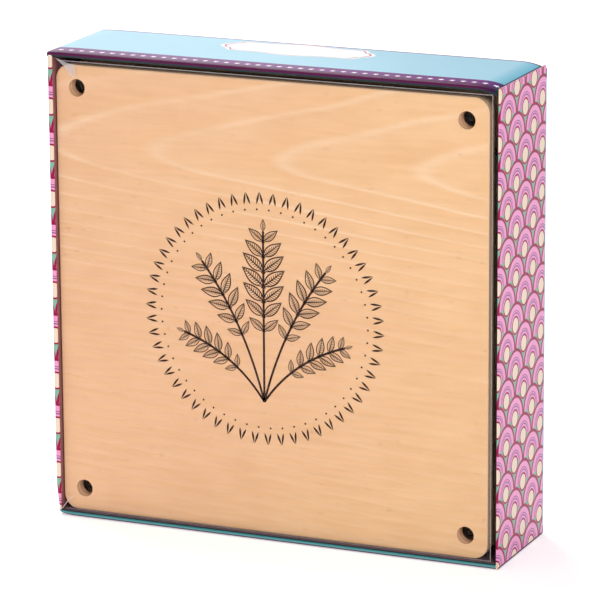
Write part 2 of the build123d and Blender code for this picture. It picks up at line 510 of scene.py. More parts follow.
def open_group(name, **inputs):
    """An empty geometry tree with inputs listed by kind, and what they give."""
    tree = bpy.data.node_groups.new(name, "GeometryNodeTree")
    for kind, labels in inputs.items():
        for label in labels.split():
            tree.interface.new_socket(name=label, in_out="INPUT", socket_type=f"NodeSocket{kind}")
    tree.interface.new_socket(name="Geometry", in_out="OUTPUT", socket_type="NodeSocketGeometry")
    sockets = add(tree, "NodeGroupInput").outputs
    return tree, SimpleNamespace(**{socket.name: Value(tree, socket) for socket in sockets if socket.name})


def close_group(geometry, material):
    """Ends a tree in real geometry with its material."""
    tree = geometry.tree
    whole = shape(tree, "RealizeInstances", geometry)
    dressed = shape(tree, "SetMaterial", Geometry=whole, Material=material)
    add(tree, "NodeGroupOutput", Geometry=dressed)
    return tree


def together(*geometries):
    """Several geometries as one."""
    tree = geometries[0].tree
    node = add(tree, "GeometryNodeJoinGeometry")
    for geometry in geometries:
        feed(node.inputs[0], geometry)
    return Value(tree, node.outputs[0])


def moved(geometry, position):
    """A geometry with new positions."""
    return shape(geometry.tree, "SetPosition", Geometry=geometry, Position=position)


def stood(geometry, place, turn=(0.0, 0.0, 0.0)):
    """A geometry turned and put in its place."""
    return shape(geometry.tree, "Transform", Geometry=geometry, Translation=place, Rotation=turn)


def thicken(flat, direction, depth):
    """Gives flat faces a small thickness, closed behind."""
    extent = {"Offset": direction, "Offset_Scale": depth, "Individual": False}
    raised = shape(flat.tree, "ExtrudeMesh", Mesh=flat, out="Mesh", **extent)
    return together(raised, shape(flat.tree, "FlipFaces", Mesh=flat))


def strewn(points, piece, angle, size):
    """Copies of a flat piece at points, turned by an angle and scaled."""
    turn, scale = joined(0.0, 0.0, angle), joined(size, size, size)
    return shape(points.tree, "InstanceOnPoints", Points=points, Instance=piece, Rotation=turn, Scale=scale)


def grow(name, tree, **values):
    """Runs a geometry tree and keeps its result as a plain mesh."""
    piece = link(name, bpy.data.meshes.new(name))
    modifier = piece.modifiers.new(tree.name, "NODES")
    modifier.node_group = tree
    for item in tree.interface.items_tree:
        if item.in_out == "INPUT" and item.name in values:
            modifier[item.identifier] = values[item.name]
    ready = piece.evaluated_get(bpy.context.evaluated_depsgraph_get())
    mesh = bpy.data.meshes.new_from_object(ready)
    piece.modifiers.clear()
    piece.data = mesh
    finish = mesh.materials[mesh.polygons[0].material_index]
    mesh.materials.clear()
    mesh.materials.append(finish)
    mesh.polygons.foreach_set("material_index", [0] * len(mesh.polygons))
    face_outward(mesh, MERGE)
    return piece


# Materials of the carton
def printed_card(name, ink):
    """Coated card with a print. ink builds the colour in the tree."""
    material, tree = open_material(name)
    fibre = noise(tree, 2.2, 4.0)
    tone = fibre * 0.07 + noise(tree, 0.03, 2.0) * 0.10 + 0.915
    return surfaced(
        material,
        Base_Color=blend(1.0, ink(tree), tone, "MULTIPLY"),
        Roughness=fibre * 0.16 + 0.26,
        Specular_IOR_Level=0.14,
        Normal=bump(fibre, 0.12, 0.05 * MM),
    )


def scale_print(look):
    """The traditional scale pattern of the sides, in rows of domes that point up."""
    pink, magenta, lilac, cream = look.pink, look.magenta, look.lilac, look.cream
    dome = [(0.0, cream), (0.32, magenta), (0.40, pink), (0.49, lilac)]
    dome += [(0.55, pink), (0.60, lilac), (0.64, pink), (0.87, magenta)]
    foot = [(0.0, cream), (0.32, magenta), (0.40, look.mint), (0.88, pink), (0.99, magenta)]
    hem = FLOOR + 0.7 * MM

    def ink(tree):
        run, girth, _ = on_sheet(tree)
        rows = run / look.scale
        row = calc("FLOOR", rows)
        rise = rows - row
        cell = calc("FRACT", (girth + look.scale_shift) / (2 * look.scale) + row % 2.0 * 0.5)
        side = (cell - 0.5) * 2.0
        near = span(side, rise)
        far = span(1.0 - calc("ABSOLUTE", side), 1.0 - rise)
        scales = blend(near < 1.0, ramp(far, foot, "CONSTANT"), ramp(near, dome, "CONSTANT"))
        return blend(run < hem, scales, look.roll)

    return ink


def striped(stops, reach, interpolation="CONSTANT"):
    """Bands of ink along a sheet's girth, with stops and reach in millimetres."""
    shares = [(min(1.0, stop / reach), shade) for stop, shade in stops]

    def ink(tree):
        return ramp(on_sheet(tree)[1] / (reach * MM), shares, interpolation)

    return ink


def plain_card(name, shade, speck, roughness=0.75, rough_bump=0.25):
    """Uncoated card or paper with fibres and specks."""
    material, tree = open_material(name)
    dull, bright, dark = ([min(1.0, share * c) for c in shade] for share in (0.86, 1.1, 0.45))
    fibre = noise(tree, 1.1, 5.0, (0.6, 2.4, 0.6), 0.6)
    specks = grey_ramp(noise(tree, 0.9, 1.0), 0.66, 0.74)
    return surfaced(
        material,
        Base_Color=blend(specks * speck, blend(fibre, dull, bright), dark),
        Roughness=roughness,
        Specular_IOR_Level=0.2,
        Normal=bump(fibre * 0.7 + noise(tree, 3.5, 2.0) * 0.3, rough_bump, 0.1 * MM),
    )


# Carton
def near_front(y):
    """Rises from 0 some way back to 1 at the carton's front."""
    return ease(-y, -FRONT - 14 * MM, -FRONT)


def drawn_in(x, y, z, look):
    """How far a point of the left wall is drawn in at the lower front corner."""
    pull = look.corner_pull * ease(-z, -18 * MM, -WALL)
    return pull * near_front(y) * (LEFT + WALL - x) / WALL


def top_sag(x, look):
    """How far the top panel dips towards its ends."""
    right = look.right_dip * ease(x, RIGHT - 10 * MM, RIGHT)
    return right + look.left_dip * ease(-x, -LEFT - 8 * MM, -LEFT)


def build_top(look, raw):
    """The top panel, rolled over at the front and dipping towards its ends."""
    roll = 1.0 * MM
    foot = TOP - WALL - 0.1 * MM
    inner = FRONT + LIP + 0.3 * MM
    depth = onward(FRONT + roll, PANEL_BACK, 12)
    under = [(y, TOP - CARD) for y in depth[::-1]] + [(inner, TOP - CARD)]
    profile = [(inner, foot), (FRONT + 0.75 * MM, foot), (FRONT + 0.2 * MM, foot + 0.6 * MM)]
    profile += arc((FRONT + roll, TOP - roll), roll, 180, 90, 8)
    profile += [(y, TOP) for y in depth] + under
    xs = stations(LEFT, RIGHT - CARD - 0.4 * MM, PANEL_STEP)
    rings = [[(x, y, z - top_sag(x, look)) for y, z in profile] for x in xs]
    band_end = 4.2 + look.band_depth / MM
    # The first 1.3 mm along the girth, under the rolled front edge, is painted shade.
    bands = [(0.0, look.shade), (1.30, look.shade), (1.40, look.roll), (3.6, look.roll), (6.0, look.band)]
    bands += [(band_end, look.band), (band_end + 0.05, look.turquoise)]
    bands += [(50.4, look.turquoise), (50.5, look.band)]
    flat_ink = striped(bands, 60.0, "LINEAR")

    def ink(tree):
        """The bands, with painted shade deepening the colour towards the right end where the top dips, and a
        dark line of painted shadow at the very end.
        """
        run = on_sheet(tree)[0] / RIGHT
        whole = flat_ink(tree)
        dip_shade = blend(1.0, whole, look.end_shade_tint, "MULTIPLY")
        whole = blend(grey_ramp(run, 0.90, 0.985), whole, dip_shade)
        return blend(run > 0.975, whole, look.shade)

    panel = loft("top_panel", rings, xs, [printed_card("printed_top", ink), raw], len(under) + 1)
    return dress(panel, "carton", "carton_turquoise", "carton_top")


def build_base(look, raw):
    """The base panel, with a lip folded up at the front and one corner rounded up."""
    bend = 0.9 * MM
    high = FLOOR + WALL
    depth = onward(FRONT + bend, PANEL_BACK, 10)
    above = [(y, FLOOR + CARD) for y in depth[::-1]] + [(FRONT + LIP, FLOOR + CARD)]
    profile = [(FRONT + LIP, high), (FRONT + 0.3 * MM, high), (FRONT, high - 0.3 * MM)]
    profile += arc((FRONT + bend, FLOOR + bend), bend, 180, 270)
    profile += [(y, FLOOR) for y in depth] + above
    xs = stations(LEFT, RIGHT - CARD, PANEL_STEP / 2)
    rings = []
    for x in xs:
        turn = max(0.0, 1 - (x - LEFT) / (9 * MM))
        lift = look.corner_lift * (1 - math.sqrt(1 - turn * turn))
        pull = look.corner_pull * turn * turn
        ring = []
        for y, z in profile:
            share = near_front(y)
            ring.append((x + pull * share, y, z + lift * share * (1 - z / WALL)))
        rings.append(ring)
    # The lip's top edge is painted shade, and the brighter lip band below it is a painted highlight on the
    # rounded lip.
    stops = [(0.0, look.shade), (0.5, look.shade), (1.0, look.teal), (1.4, look.lip), (1.80, look.lip)]
    stops += [(1.85, look.roll), (4.5, look.roll), (4.6, look.teal)]
    ink = striped(stops, 60.0, "LINEAR")
    panel = loft("base_panel", rings, xs, [printed_card("printed_base", ink), raw], len(above) + 1, 1)
    dress(panel, "carton", "carton_turquoise", "carton_bottom")


def build_sides(look, raw):
    """The side panels. The left one folds over its liner, and the right one shows a bare rounded edge."""
    pattern = printed_card("printed_sides", scale_print(look))
    inner_left = LEFT + WALL
    bend, fold, half = 0.9 * MM, 0.4 * MM, CARD / 2
    depth = [PANEL_BACK, *onward(PANEL_BACK, FRONT + bend, 10)]
    left = [(LEFT, y) for y in depth]
    left += arc((LEFT + bend, FRONT + bend), bend, 180, 270)[1:]
    left += arc((inner_left - fold, FRONT + fold), fold, 270, 360, 4)
    left += [(inner_left, FRONT + LIP), (LEFT + CARD, FRONT + LIP), (LEFT + CARD, PANEL_BACK)]
    zs = stations(FLOOR + CARD, TOP - CARD - 0.6 * MM, PANEL_STEP)
    rings = []
    for z in zs:
        lift = LINER * max(0.0, 1 - z / (18 * MM))
        rings.append([(x + drawn_in(x, y, z, look), y, z + lift * near_front(y)) for x, y in left])
    panel = loft("side_panel_left", rings, zs, [pattern, raw], 3, 1)
    dress(panel, "carton", "carton_pink", "carton_left")
    right = [(RIGHT, y) for y in depth]
    right += arc((RIGHT - half, FRONT + half), half, 0, -180, 8)
    right += [(RIGHT - CARD, FRONT + 2 * MM), (RIGHT - CARD, PANEL_BACK)]
    zs = stations(FLOOR, TOP - CARD, PANEL_STEP)
    rings = [[(x, y, z) for x, y in right] for z in zs]
    torn = plain_card("torn_card", look.torn, 0.2)
    panel = loft("side_panel_right", rings, zs, [pattern, raw, torn], 3)
    for face in panel.data.polygons:
        worn = face.center.z > zs[-2] or face.center.z < zs[1]
        if worn and face.center.y < FRONT + 0.5 * MM and face.material_index == 0:
            face.material_index = 2
    dress(panel, "carton", "carton_pink", "carton_right")


def build_back(look, raw):
    """The back panel, whose upper edge follows the top."""
    bend = 0.5 * MM
    profile = [(PANEL_BACK, FLOOR)]
    profile += arc((BACK - bend, FLOOR + bend), bend, -90, 0, 4)
    profile += [(BACK, z) for z in onward(FLOOR, TOP, 8)[:-1]]
    profile += arc((BACK - bend, TOP - bend), bend, 0, 90, 4)
    profile += [(PANEL_BACK, TOP)]
    xs = stations(LEFT, RIGHT, PANEL_STEP)
    rings = []
    for x in xs:
        sag = top_sag(x, look)
        rings.append([(x, y, z - sag * ease(z, TOP - 20 * MM, TOP)) for y, z in profile])
    edge, tall = 3.0, TOP / MM
    stops = [(0.0, look.band), (edge, look.turquoise), (tall - edge, look.band), (tall + edge, look.band)]
    printed = printed_card("printed_back", striped(stops, tall + edge))
    panel = loft("back_panel", rings, xs, [printed, raw], 1)
    dress(panel, "carton", "carton_turquoise", "carton_back")


def build_liners(look):
    """Strips that double the walls, with rounded front edges."""
    # The dark colour on the top and right liners and on the shelf is painted shade; the mauve and grey-mauve
    # linings are lighter copies of the same card.
    dark = plain_card("liner_painted_shade", look.liner, 0.3, 0.6)
    mauve = plain_card("mauve_lining", look.lining, 0.4, 0.6)
    grey = plain_card("grey_lining", look.ledge, 0.4, 0.6)
    bend = LINER / 2
    near, far = LEFT + CARD, RIGHT - CARD
    heights = stations(FLOOR + WALL, TOP - WALL, 4 * MM)
    widths = stations(near, far - 0.4 * MM, PANEL_STEP)
    low_widths = stations(LEFT + WALL, far - 0.4 * MM, PANEL_STEP)

    def left(t, y, z):
        return (near + t + drawn_in(near + t, y, z, look), y, z)

    def right(t, y, z):
        return (far - t, y, z)

    def bottom(t, y, x):
        return (x, y, FLOOR + CARD + t)

    def top(t, y, x):
        return (x, y, TOP - CARD - t - top_sag(x, look))

    strips = {
        "liner_left": (left, mauve, heights, LIP),
        "liner_right": (right, dark, heights, 2.2 * MM),
        "liner_bottom": (bottom, grey, low_widths, LIP),
        "liner_top": (top, dark, widths, 1.2 * MM),
    }
    for node, (place, material, runs, inset) in strips.items():
        rounded = arc((bend, FRONT + inset + bend), bend, 180, 360, 8)
        section = [(0.0, LINER_BACK), *rounded, (LINER, LINER_BACK)]
        rings = [[place(t, y, run) for t, y in section] for run in runs]
        dress(loft(f"{node}_strip", rings, runs, [material]), "carton", "liner_card", node)
    paint("liner_shelf", dark)


def build_stars(look, panel):
    """A row of small stars printed along the band of the top."""
    white = plain_card("white_ink", srgb(250, 248, 250), 0.0, 0.5, 0.05)
    tree, given = open_group(
        "star_row", Object="Panel", Int="Count", Float="Pitch Reach Waist Lift Depth", Vector="Start"
    )
    step = joined(given.Pitch, 0.0, 0.0)
    row = {"Count": given.Count, "Start_Location": given.Start, "Offset": step}
    line = shape(tree, "MeshLine", mode="OFFSET", **row)
    outline = shape(tree, "CurveStar", Points=5, Inner_Radius=given.Waist, Outer_Radius=given.Reach)
    filled = shape(tree, "FillCurve", outline)
    stars = shape(tree, "InstanceOnPoints", Points=line, Instance=filled)
    flat = shape(tree, "RealizeInstances", stars)
    cast = {
        "Target_Geometry": shape(tree, "ObjectInfo", Object=given.Panel, out="Geometry"),
        "Source_Position": shape(tree, "InputPosition"),
        "Ray_Direction": (0.0, 0.0, -1.0),
        "Ray_Length": 0.1,
    }
    x, y, z = split(shape(tree, "Raycast", out="Hit Position", **cast))
    settled = moved(flat, joined(x, y, z + given.Lift))
    close_group(thicken(settled, (0.0, 0.0, 1.0), given.Depth), white)
    margin = 3.2 * MM
    count = int((RIGHT - LEFT - 2 * margin) / look.star_pitch) + 1
    stars = grow(
        "star_row",
        tree,
        Panel=panel,
        Count=count,
        Pitch=look.star_pitch,
        Reach=look.star_reach,
        Waist=0.48 * look.star_reach,
        Start=(-(count - 1) / 2 * look.star_pitch, FRONT + 5.4 * MM, TOP + 20 * MM),
        Lift=-0.01 * MM,
        Depth=0.03 * MM,
    )
    dress(stars, "carton", "carton_turquoise")


def plaque_outline(width, height):
    """A bracketed plate: pointed ends, stepped corners and a swelling in the middle of each long side."""
    quarter = [(1.0, 0.06), (0.93, 0.38), (0.88, 0.40), (0.82, 0.76)]
    quarter += [(0.74, 0.80), (0.42, 0.80), (0.26, 0.90), (0.14, 1.0)]
    half = quarter + [(-x, y) for x, y in quarter[::-1]]
    shares = half + [(-x, -y) for x, y in half]
    return round_outline([(x * width / 2, y * height / 2) for x, y in shares])


def build_plaque(look):
    """A blank white plaque on the top, with a thin line round it."""
    middle = (-4.2 * MM, FRONT + 37.5 * MM)
    outline = plaque_outline(65 * MM, 22 * MM)

    def flat_ring(scale, z):
        return [(middle[0] + scale * x, middle[1] + scale * y, z) for x, y in outline]

    white = plain_card("plaque_white", look.plaque, 0.0, 0.45, 0.05)
    red = plain_card("plaque_red", look.plaque_line, 0.0, 0.45, 0.05)
    low, high, rise = TOP - 0.01 * MM, TOP + 0.02 * MM, TOP + 0.04 * MM
    plate = loft("plaque_plate", [flat_ring(1.0, low), flat_ring(1.0, high)], [0.0, high - low], [white])
    dress(plate, "carton", "carton_turquoise")
    rings = [flat_ring(*place) for place in ((0.95, low), (0.95, rise), (0.925, rise), (0.925, low))]
    frame_line = loft("plaque_line", rings, [0.0, 1.0, 2.0, 3.0, 4.0], [red], closed=True)
    dress(frame_line, "carton", "carton_turquoise")


class FLOWERPRESS_OT_carton(bpy.types.Operator):
    """Builds the printed carton, its liner, stars and plaque"""

    bl_idname = "flower_press.carton"
    bl_label = "Carton"

    def execute(self, context):
        look = context.scene.press_carton
        raw = plain_card("raw_card", look.raw, 0.15)
        panel = build_top(look, raw)
        build_base(look, raw)
        build_sides(look, raw)
        build_back(look, raw)
        build_liners(look)
        build_stars(look, panel)
        build_plaque(look)
        return {"FINISHED"}


# Film in the opening
def film_depth(x, z, look):
    """The depth of the film's slow ripples."""
    middle = sum(corner.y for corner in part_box("window_film")) / 2
    wave = math.sin(x / (17 * MM) + 1.3 * math.sin(z / (41 * MM))) * math.sin(z / (29 * MM))
    return middle + look.ripple * wave


def ribbon(name, path, width, material):
    """A thin closed strip along points in space, facing forward."""
    thick = 0.02 * MM
    rings = []
    for index, point in enumerate(path):
        along = Vector(path[min(len(path) - 1, index + 1)]) - Vector(path[max(0, index - 1)])
        across = Vector((-along.z, 0.0, along.x)).normalized() * width / 2
        corners = ((across, -thick), (across, thick), (-across, thick), (-across, -thick))
        rings.append([Vector(point) + side + Vector((0.0, depth, 0.0)) for side, depth in corners])
    return loft(name, rings, [0.0] * len(rings), [material])


def clear_film(look):
    """Clear film that gleams where it is seen at a slant."""
    material, tree = open_material("clear_window")
    normal = bump(noise(tree, 0.05, 2.0), 0.08, 0.6 * MM)
    gloss = take(tree, "ShaderNodeBsdfGlossy", Color=opaque(look.tint), Roughness=0.12, Normal=normal)
    facing = take(tree, "ShaderNodeLayerWeight", out="Facing", Blend=0.5, Normal=normal)
    return see_through(material, calc("POWER", facing, 5.0) * 0.4 + 0.003, gloss)


def painted_highlight_film(name, look, thin, thick):
    """Painted highlight: film whitened along its folds and cut edges in place of their glints, from a thin to
    a thick share.
    """
    material, tree = open_material(name)
    veil = take(tree, "ShaderNodeBsdfDiffuse", Color=opaque(look.highlight_white))
    return see_through(material, noise(tree, 0.35, 1.0) * (thick - thin) + thin, veil)


def build_film_highlights(look):
    """Painted highlights on the film: bright lines along its top, bottom and right edges, a white line on the
    lower left fold and a pale wedge at the upper left corner, in place of their glints.
    """
    pale = painted_highlight_film("film_highlight_faint", look, 0.14, 0.30)
    white = painted_highlight_film("film_highlight_strong", look, 0.6, 0.95)
    wide, high, low = look.half_width, look.top_edge, look.bottom_edge
    inset, lift = 0.15 * MM, 0.16 * MM

    def before_film(x, z):
        return (x, film_depth(x, z, look) - lift, z)

    across = stations(-wide, wide, FILM_STEP)
    lines = [[before_film(x, z) for x in across] for z in (high - inset, low + inset)]
    lines.append([before_film(wide - inset, z) for z in stations(low, high, FILM_STEP)])
    rim = merge_pieces([ribbon("film_edges", line, 0.3 * MM, pale) for line in lines])
    dress(rim, "window_film", "clear_film")
    fold = [(-91.5, -24.4, 2.5), (-90.2, -23.3, 4.6), (-88.9, -23.3, 6.2), (-87.3, -23.3, 7.7)]
    lower = ribbon("film_folds", [[MM * v for v in point] for point in fold], 0.26 * MM, white)
    dress(lower, "window_film", "clear_film")
    wedge = [(-91.4, 184.9), (-85.6, 182.8), (-82.6, 182.5), (-82.9, 177.8), (-84.0, 177.3), (-87.6, 181.7)]
    corners = [before_film(MM * x, MM * z) for x, z in wedge]
    rings = [[(x, y - thin, z) for x, y, z in corners] for thin in (0.0, 0.04 * MM)]
    dress(loft("film_wedge", rings, [0.0, 1.0], [pale]), "window_film", "clear_film")


class FLOWERPRESS_OT_film(bpy.types.Operator):
    """Builds the clear film with painted highlights on its folds and edges"""

    bl_idname = "flower_press.film"
    bl_label = "Window film"

    def execute(self, context):
        look = context.scene.press_film
        clear = clear_film(look)
        xs = stations(-look.half_width, look.half_width, FILM_STEP)
        zs = stations(look.bottom_edge, look.top_edge, FILM_STEP)
        thick = 0.1 * MM
        rings = []
        for z in zs:
            front = [(x, film_depth(x, z, look) - thick, z) for x in xs]
            rear = [(x, film_depth(x, z, look) + thick, z) for x in xs[::-1]]
            rings.append(front + rear)
        dress(loft("film_sheet", rings, zs, [clear]), "window_film", "clear_film", "window_film")
        build_film_highlights(look)
        return {"FINISHED"}


# Boards
def plywood(name, look, front):
    """Smooth pale veneer on the faces and layered plies in the edges, counted from the front face."""
    material, tree = open_material(name)
    x, y, z = split(in_millimetres(tree))
    drift = noise(tree, 0.016, 2.0, (0.42, 1.0, 1.0))
    base = blend(grey_ramp(x * 0.0032 + drift, 0.30, 0.75), look.rosy, look.warm)
    # Growth rings in long V shapes that point sideways and lie flatter below their axis
    axis, blunt, ring_pitch = 152.0, 12.0, 56.0
    off = z - axis
    arch = span(off, blunt) - blunt
    upper = grey_ramp(off / 20.0 + 0.5, 0.0, 1.0)
    ring = calc("FRACT", (x - arch * (11.0 - upper * 6.0)) / ring_pitch + drift * 1.6)
    late = ramp(ring, [(0.0, BLACK), (0.20, BLACK), (0.85, WHITE), (1.0, BLACK)])
    base = blend(late * 0.45, base, look.amber)
    line = ramp(ring, [(0.0, WHITE), (0.14, BLACK), (0.88, BLACK), (1.0, WHITE)])
    fade = grey_ramp(noise(tree, 0.05, 1.0, (0.3, 1.0, 0.5)), 0.30, 0.62)
    near = grey_ramp(off / 70.0 + 1.0, 0.0, 0.7)
    base = blend(line * fade * (near * 0.55 + 0.15), base, look.pale)
    # Clouds, fine fibres and pores
    cloud = noise(tree, 0.11, 2.0, (0.5, 1.0, 1.0), 0.6)
    base = tinted(base, cloud, (0.96, 0.93, 0.89))
    fine = noise(tree, 0.45, 1.0, (0.10, 1.0, 1.2))
    base = tinted(base, fine, (0.95, 0.93, 0.91))
    pores = grey_ramp(noise(tree, 0.7, 1.0, (0.4, 1.0, 1.0)), 0.70, 0.78)
    base = blend(pores * 0.12, base, look.ink)
    # Plies in the edges, and a painted highlight where the faces round into the edges
    two_plies = 2.4
    layer = grey_ramp(calc("PINGPONG", (y - front / MM) / two_plies, 0.5), 0.20, 0.30)
    edge = blend(layer, look.pale, look.dark_ply)
    edge = tinted(edge, noise(tree, 2.0, 3.0, (0.15, 2.0, 0.15)), (0.92, 0.90, 0.88))
    facing = calc("ABSOLUTE", split(take(tree, "ShaderNodeNewGeometry", out="Normal"))[1])
    # Painted highlight: the pale colour on the eased rims between the faces and the edges.
    rim = blend(grey_ramp(facing, 0.35, 0.75), edge, look.pale)
    return surfaced(
        material,
        Base_Color=blend(grey_ramp(facing, 0.60, 0.97), rim, base),
        Roughness=cloud * 0.1 + 0.5,
        Specular_IOR_Level=0.3,
        Normal=bump(fine, 0.03, 0.05 * MM),
    )


class FLOWERPRESS_OT_boards(bpy.types.Operator):
    """Gives both boards their plywood"""

    bl_idname = "flower_press.boards"
    bl_label = "Boards"

    def execute(self, context):
        look = context.scene.press_board
        for node in ("front_board", "rear_board"):
            paint(node, plywood(f"{node}_plywood", look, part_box(node)[0].y))
        return {"FINISHED"}


# Print on the front board
def flat_leaf(name, half_width, steps, rim, hatches):
    """A leaf of unit length along X: solid, or engraved as an outline with a rib and hatching."""
    points = []
    faces = []

    def half(t):
        return half_width * math.sin(math.pi * t ** 0.8)

    def patch(corners, side=1):
        start = len(points)
        points.extend((x, y, 0.0) for x, y in (corners if side > 0 else corners[::-1]))
        faces.append(tuple(range(start, start + len(corners))))

    places = [i / steps for i in range(steps + 1)]
    for a, b in zip(places, places[1:]):
        inner = [max(0.0, half(t) - rim) for t in (a, b)]
        for side in (1, -1):
            near = [(a, side * inner[0]), (b, side * inner[1])]
            patch(near + [(b, side * half(b)), (a, side * half(a))], side)
    if hatches:
        patch([(-0.10, -0.030), (0.9, -0.012), (0.9, 0.012), (-0.10, 0.030)])
    for index in range(hatches):
        t = 0.10 + 0.72 * index / hatches
        for side, reach in ((-1, 1.0), (1, 0.55)):
            tip = t + 0.13 * reach
            y = side * half(tip) * reach
            patch([(t, 0.0), (t + 0.040, 0.0), (tip + 0.020, y), (tip, y)], side)
    mesh = bpy.data.meshes.new(name)
    mesh.from_pydata(points, [], faces)
    work = bmesh.new()
    work.from_mesh(mesh)
    bmesh.ops.remove_doubles(work, verts=work.verts, dist=1e-4)
    bmesh.ops.dissolve_degenerate(work, edges=work.edges, dist=1e-4)
    work.to_mesh(mesh)
    work.free()
    return link(name, mesh)


def on_board(flat, given, ink):
    """Thickens a print drawn flat and stands it on the board."""
    solid = thicken(shape(flat.tree, "RealizeInstances", flat), (0.0, 0.0, 1.0), given.Depth)
    return close_group(stood(solid, given.Place, FORWARD_TURN), ink)


def frond_tree(ink):
    """A stem with opposite leaves that shrink towards its tip."""
    tree, given = open_group(
        "fern_frond",
        Vector="Start Middle End Place",
        Int="Pairs",
        Object="Leaf",
        Float="Length Spread Stem Depth First",
    )
    ends = {"Start": given.Start, "Middle": given.Middle, "End": given.End}
    stem = shape(tree, "CurveQuadraticBezier", Resolution=32, **ends)
    trimmed = shape(tree, "TrimCurve", Curve=stem, Start=given.First, End=0.94, mode="FACTOR")
    marks = add(tree, "GeometryNodeCurveToPoints", Curve=trimmed, Count=given.Pairs, mode="COUNT").outputs
    leaf = shape(tree, "ObjectInfo", Object=given.Leaf, out="Geometry")
    x, y, _ = split(Value(tree, marks["Tangent"]))
    heading = calc("ARCTAN2", y, x)
    share = shape(tree, "InputIndex") / given.Pairs
    size = given.Length * (calc("SINE", share * 2.5 + 0.5) * 0.6 + 0.4)
    points = Value(tree, marks["Points"])
    pieces = [strewn(points, leaf, heading + given.Spread * side, size) for side in (1.0, -1.0)]
    x, y, _ = split(take(tree, "ShaderNodeVectorMath", given.End, given.Middle, operation="SUBTRACT"))
    last = shape(tree, "MeshLine", Count=1, Start_Location=given.End)
    pieces.append(strewn(last, leaf, calc("ARCTAN2", y, x), given.Length * 0.42))
    half = given.Stem * 0.5
    bar = {"Start": joined(half * -1.0, 0.0, 0.0), "End": joined(half, 0.0, 0.0)}
    section = shape(tree, "CurvePrimitiveLine", **bar)
    pieces.append(shape(tree, "CurveToMesh", Curve=stem, Profile_Curve=section))
    return on_board(together(*pieces), given, ink)


def ring_tree(ink):
    """A full ring of slim leaves in pairs, with a dot inside each pair."""
    tree, given = open_group(
        "leaf_ring", Int="Count", Object="Leaf", Float="Radius Length Tilt Dot Depth", Vector="Place"
    )
    circle = shape(tree, "MeshCircle", Vertices=given.Count, Radius=given.Radius)
    x, y, _ = split(shape(tree, "InputPosition"))
    parity = shape(tree, "InputIndex") % 2.0 * 2.0 - 1.0
    angle = calc("ARCTAN2", y, x) + parity * given.Tilt
    leaf = shape(tree, "ObjectInfo", Object=given.Leaf, out="Geometry")
    leaves = strewn(circle, leaf, angle, given.Length)
    dots = shape(tree, "MeshCircle", Vertices=given.Count / 2.0, Radius=given.Radius * 0.955)
    disc = shape(tree, "MeshCircle", Vertices=10, Radius=given.Dot, fill_type="NGON")
    berries = shape(tree, "InstanceOnPoints", Points=dots, Instance=disc)
    return on_board(together(leaves, berries), given, ink)


class FLOWERPRESS_OT_board_print(bpy.types.Operator):
    """Prints a ring of leaves round a spray of fern on the front board"""

    bl_idname = "flower_press.board_print"
    bl_label = "Board print"

    def execute(self, context):
        look = context.scene.press_board
        ink = plain_card("brown_ink", look.ink, 0.2, 0.6, 0.1)
        low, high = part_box("front_board")
        middle = (low + high) / 2
        place = (middle.x - look.print_left, low.y + 0.01 * MM, middle.z - look.print_below)
        printed = {"Place": place, "Depth": 0.04 * MM}
        leaf = flat_leaf("fern_leaf", 0.22, 10, 0.05, 8)
        sliver = flat_leaf("ring_leaf", 0.085, 6, 1.0, 0)
        self.print_fronds(frond_tree(ink), leaf, printed)
        ring = grow(
            "print_leaf_ring",
            ring_tree(ink),
            Count=look.ring_leaves,
            Radius=look.ring_radius,
            Leaf=sliver,
            Length=5.0 * MM,
            Tilt=math.radians(16.0),
            Dot=0.4 * MM,
            **printed,
        )
        dress(ring, "front_board", "plywood")
        for source in (leaf, sliver):
            bpy.data.objects.remove(source)
        return {"FINISHED"}

    def print_fronds(self, tree, leaf, printed):
        """Five fern fronds from one foot, each with its bend, end, first leaf, pairs and leaf length."""
        sprays = {
            "middle": ((0.0, 0.0), (0.0, 35.0), 0.42, 7, 11.5),
            "left": ((-8.0, -2.0), (-26.0, 21.0), 0.46, 6, 9.5),
            "right": ((8.0, -2.0), (26.0, 21.0), 0.46, 6, 9.5),
            "low_left": ((-12.0, -15.0), (-34.0, -8.0), 0.40, 6, 8.0),
            "low_right": ((12.0, -15.0), (34.0, -8.0), 0.40, 6, 8.0),
        }
        for name, (bend, end, first, pairs, leaf_length) in sprays.items():
            ends = {"Start": (0.0, -33.0), "Middle": bend, "End": end}
            spray = grow(
                f"print_fern_{name}",
                tree,
                Pairs=pairs,
                Leaf=leaf,
                Length=leaf_length * MM,
                Spread=math.radians(52.0),
                Stem=0.9 * MM,
                First=first,
                **{label: (MM * x, MM * y, 0.0) for label, (x, y) in ends.items()},
                **printed,
            )
            dress(spray, "front_board", "plywood")


# Sheets between the boards
def flute_tree(kraft):
    """Two flat skins with a waved web between them, cut to the sheet's eight corners."""
    tree, given = open_group(
        "fluted_card", Vector="Place", Float="Half Step Thickness Skin Pitch", Int="Columns"
    )
    columns = {"Vertices_X": given.Columns, "Vertices_Y": 2}
    grid = shape(tree, "MeshGrid", Size_X=given.Half * 2.0, Size_Y=2.0, **columns)
    x, y, _ = split(shape(tree, "InputPosition"))
    beyond = calc("ABSOLUTE", x) - given.Step
    up = calc("SIGN", y) * (given.Half - calc("MAXIMUM", beyond, 0.0))
    room = given.Thickness - given.Skin * 3.0
    wave = calc("SINE", x / given.Pitch * (2 * math.pi)) * 0.5 + 0.5
    layers = []
    for depth in (0.0, given.Skin + wave * room, given.Thickness - given.Skin):
        sheet = moved(grid, joined(x, depth, up))
        layers.append(thicken(sheet, (0.0, 1.0, 0.0), given.Skin))
    return close_group(stood(together(*layers), given.Place), kraft)


